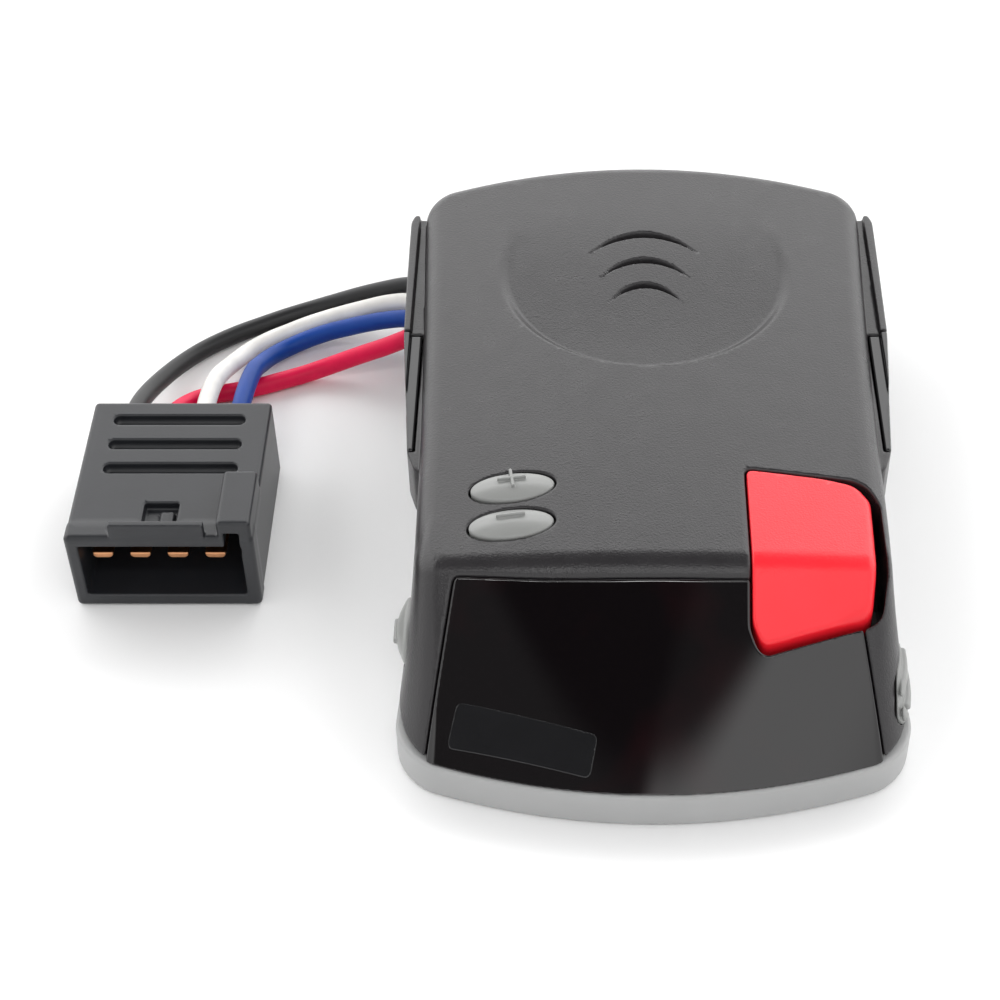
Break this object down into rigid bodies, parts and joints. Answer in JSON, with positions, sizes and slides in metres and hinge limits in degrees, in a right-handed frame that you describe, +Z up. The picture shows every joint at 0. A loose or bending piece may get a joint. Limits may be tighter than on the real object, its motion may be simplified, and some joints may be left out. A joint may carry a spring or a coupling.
{
  "type": "brake controller unit",
  "caption": "Hand-sized trailer brake controller case with smoked display window, red override lever, push buttons and a wired four-way plug.",
  "frame": {"origin": "under the middle of the case, on the surface that it lies on", "axes": "+Z up, -Y towards the display end, +X towards the override lever side"},
  "size_m": [0.1576, 0.1485, 0.0338],
  "materials": {
    "charcoal_plastic": "fine spark texture, satin",
    "light_grey_plastic": "satin",
    "button_grey": "smooth satin",
    "smoked_lens": "polished smoked plastic",
    "red_plastic": "textured top, smooth front",
    "gloss_black_plastic": "glossy",
    "black_plastic": "matt",
    "plug_plastic": "satin nylon",
    "black_rubber": "matt",
    "circuit_board": "solder resist",
    "display_face": "dark red filter",
    "steel": "zinc plated",
    "aluminium": "extruded",
    "copper": "bright copper alloy",
    "ferrite": "coated core with windings",
    "wire_black": "pvc sleeve",
    "wire_red": "pvc sleeve",
    "wire_white": "pvc sleeve",
    "wire_blue": "pvc sleeve"
  },
  "bodies": {
    "case": {"base_tray": "light_grey_plastic", "button_board": "circuit_board", "capacitor_1": "gloss_black_plastic", "capacitor_2": "gloss_black_plastic", "case_screw_1": "steel", "case_screw_2": "steel", "case_screw_3": "steel", "case_screw_4": "steel", "controller_chip": "black_plastic", "display_lens": "smoked_lens", "display_module": "display_face", "heat_sink": "aluminium", "inductor": "ferrite", "left_rail_insert": "gloss_black_plastic", "lever_pivot_pin": "steel", "lever_position_sensor": "black_plastic", "lever_return_spring": "steel", "main_board": "circuit_board", "minus_key_ring": "black_rubber", "minus_switch": "black_plastic", "motion_sensor": "black_plastic", "plug_housing": "plug_plastic", "plug_lock": "plug_plastic", "plug_terminal_1": "copper", "plug_terminal_2": "copper", "plug_terminal_3": "copper", "plug_terminal_4": "copper", "plus_key_ring": "black_rubber", "plus_switch": "black_plastic", "power_transistor_1": "black_plastic", "power_transistor_2": "black_plastic", "power_transistor_3": "black_plastic", "relay": "black_plastic", "right_rail_insert": "gloss_black_plastic", "selector_switch": "black_plastic", "side_switch": "black_plastic", "terminal_block": "black_plastic", "top_cover": "charcoal_plastic", "wire_black": "wire_black", "wire_blue": "wire_blue", "wire_grommet": "black_rubber", "wire_red": "wire_red", "wire_white": "wire_white"},
    "lever": {"override_lever": "red_plastic"},
    "plus_key": {"plus_button": "button_grey"},
    "minus_key": {"minus_button": "button_grey"},
    "side_key": {"side_button": "button_grey"},
    "selector": {"side_selector": "button_grey"}
  },
  "joints": [
    {"name": "lever_press", "type": "hinge", "parent": "case", "child": "lever", "pos_m": [0.028, -0.02, 0.027], "axis": [1, 0, 0], "range_deg": [0, 5], "stiffness_Nm_per_rad": 1.2, "deforming": ["lever_return_spring"]},
    {"name": "plus_press", "type": "slide", "parent": "case", "child": "plus_key", "axis": [0, 0, -1], "range_m": [0, 0.0008], "stiffness_N_per_m": 900, "deforming": ["plus_key_ring"]},
    {"name": "minus_press", "type": "slide", "parent": "case", "child": "minus_key", "axis": [0, 0, -1], "range_m": [0, 0.0008], "stiffness_N_per_m": 900, "deforming": ["minus_key_ring"]},
    {"name": "side_press", "type": "slide", "parent": "case", "child": "side_key", "axis": [1, 0, 0], "range_m": [0, 0.0008], "stiffness_N_per_m": 900},
    {"name": "selector_slide", "type": "slide", "parent": "case", "child": "selector", "axis": [0, 1, 0], "range_m": [0, 0.003]}
  ]
}
